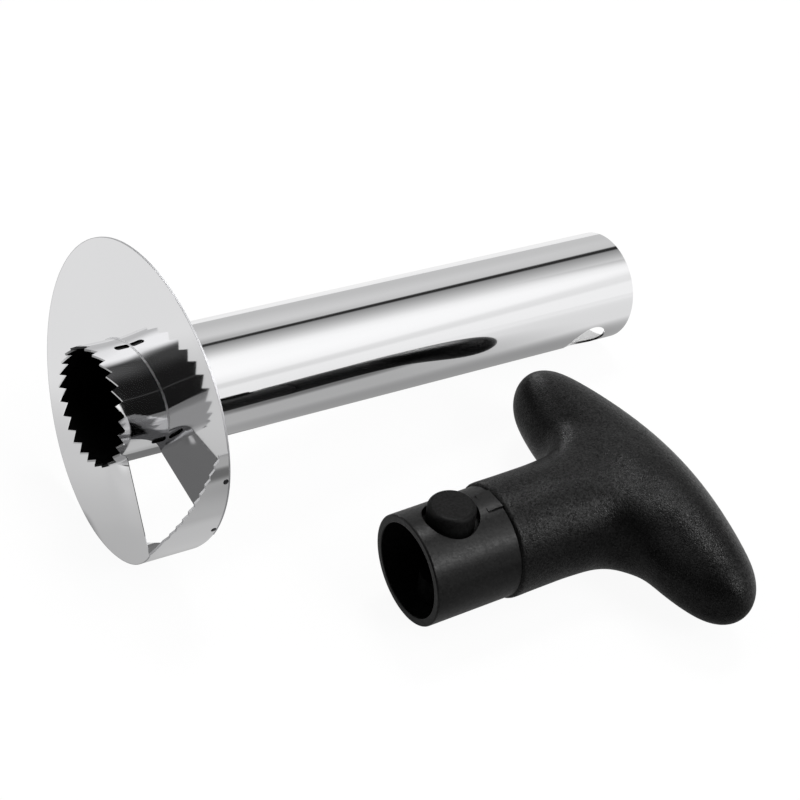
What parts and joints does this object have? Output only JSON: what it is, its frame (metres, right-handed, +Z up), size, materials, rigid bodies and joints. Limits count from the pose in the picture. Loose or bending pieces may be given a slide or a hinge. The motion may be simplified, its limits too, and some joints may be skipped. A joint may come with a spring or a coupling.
{
  "type": "pineapple slicer",
  "caption": "Steel coring tube with a toothed crown and a spiral slicing disc, and a T handle with a release button that plugs into it.",
  "frame": {"origin": "middle of the whole box, on the ground that both groups rest on", "axes": "+X in plan along the coring tube towards its toothed crown, +Z up from the ground; the tube rises 9 degrees towards the crown"},
  "size_m": [0.1834, 0.1746, 0.0858],
  "materials": {
    "polished_steel": "mirror-polished stainless steel",
    "weld_steel": "dull weld metal",
    "spring_steel": "drawn spring wire",
    "black_plug": "satin black plastic",
    "black_grip": "fine sand-grained black plastic",
    "black_button": "satin black plastic"
  },
  "bodies": {
    "slicer": {"core_tube": "polished_steel", "slicing_disc": "polished_steel", "rim_band": "polished_steel", "seam_weld": "weld_steel", "spot_welds": "weld_steel"},
    "handle": {"handle_core": "black_plug", "grip": "black_grip", "spring_seat": "black_plug", "button_spring": "spring_steel"},
    "button": {"release_button": "black_button"}
  },
  "joints": [
    {"name": "handle_lift", "type": "slide", "parent": "slicer", "child": "handle", "axis": [0, 0, 1], "range_m": [0, 0.1]},
    {"name": "button_press", "type": "slide", "parent": "handle", "child": "button", "axis": [0.0324, -0.0021, -0.9995], "range_m": [0, 0.0036], "stiffness_N_per_m": 900, "springref_m": -0.003, "deforming": ["button_spring"]}
  ]
}
